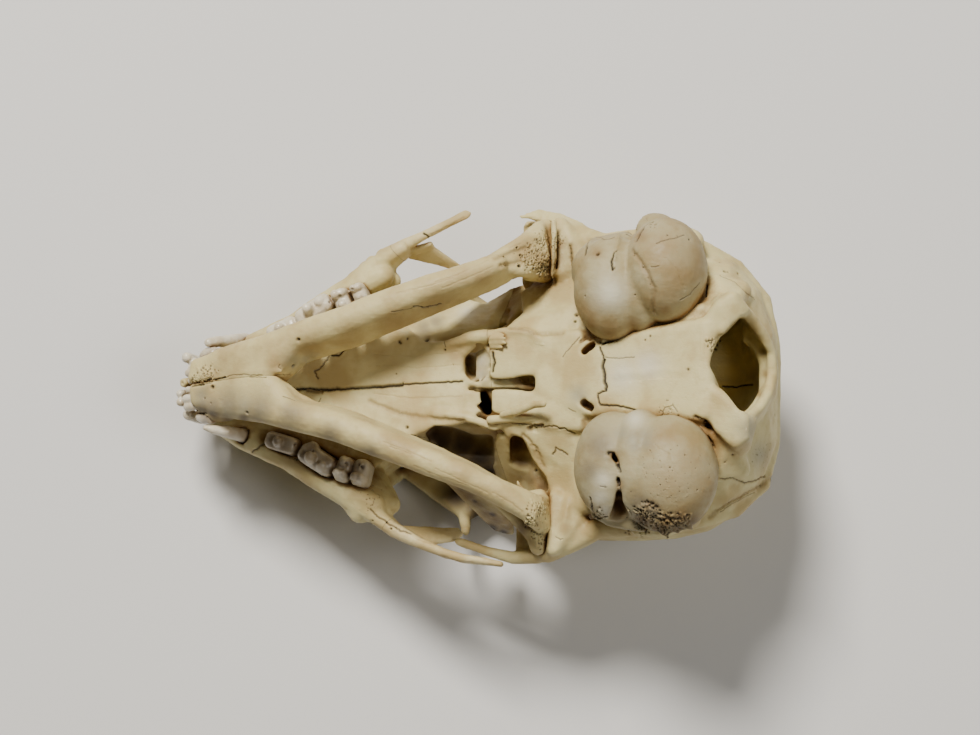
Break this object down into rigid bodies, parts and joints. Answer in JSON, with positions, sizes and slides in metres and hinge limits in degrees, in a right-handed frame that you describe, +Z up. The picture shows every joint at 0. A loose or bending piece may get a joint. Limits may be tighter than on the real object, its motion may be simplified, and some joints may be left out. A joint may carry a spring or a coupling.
{
  "type": "meerkat skull",
  "caption": "Life-size skull of an adult meerkat with its lower jaw in place, lying upside down on its crown and nose.",
  "frame": {"origin": "middle of the bounding box at the level of the ground that the crown rests on", "axes": "+Z up, +X from the snout towards the back of the head, +Y towards the animal's left; the skull lies upside down, palate up"},
  "size_m": [0.0658, 0.0396, 0.0322],
  "materials": {
    "cranium_bone": "dry cleaned bone, matt to satin, cream with tan recesses",
    "ear_capsule_bone": "dry cleaned bone, satin, cream with tan and grey stains",
    "cheek_bone": "dry cleaned bone, satin, pale cream",
    "jaw_bone": "dry cleaned bone, satin, cream with tan shading and whiter teeth"
  },
  "bodies": {
    "root": {"face": "cranium_bone", "braincase": "cranium_bone", "bulla_left": "ear_capsule_bone", "bulla_right": "ear_capsule_bone", "jugal_left": "cheek_bone", "jugal_right": "cheek_bone", "pterygoid_left": "cranium_bone", "pterygoid_right": "cranium_bone", "mandible_left": "jaw_bone", "mandible_right": "jaw_bone"}
  },
  "joints": []
}
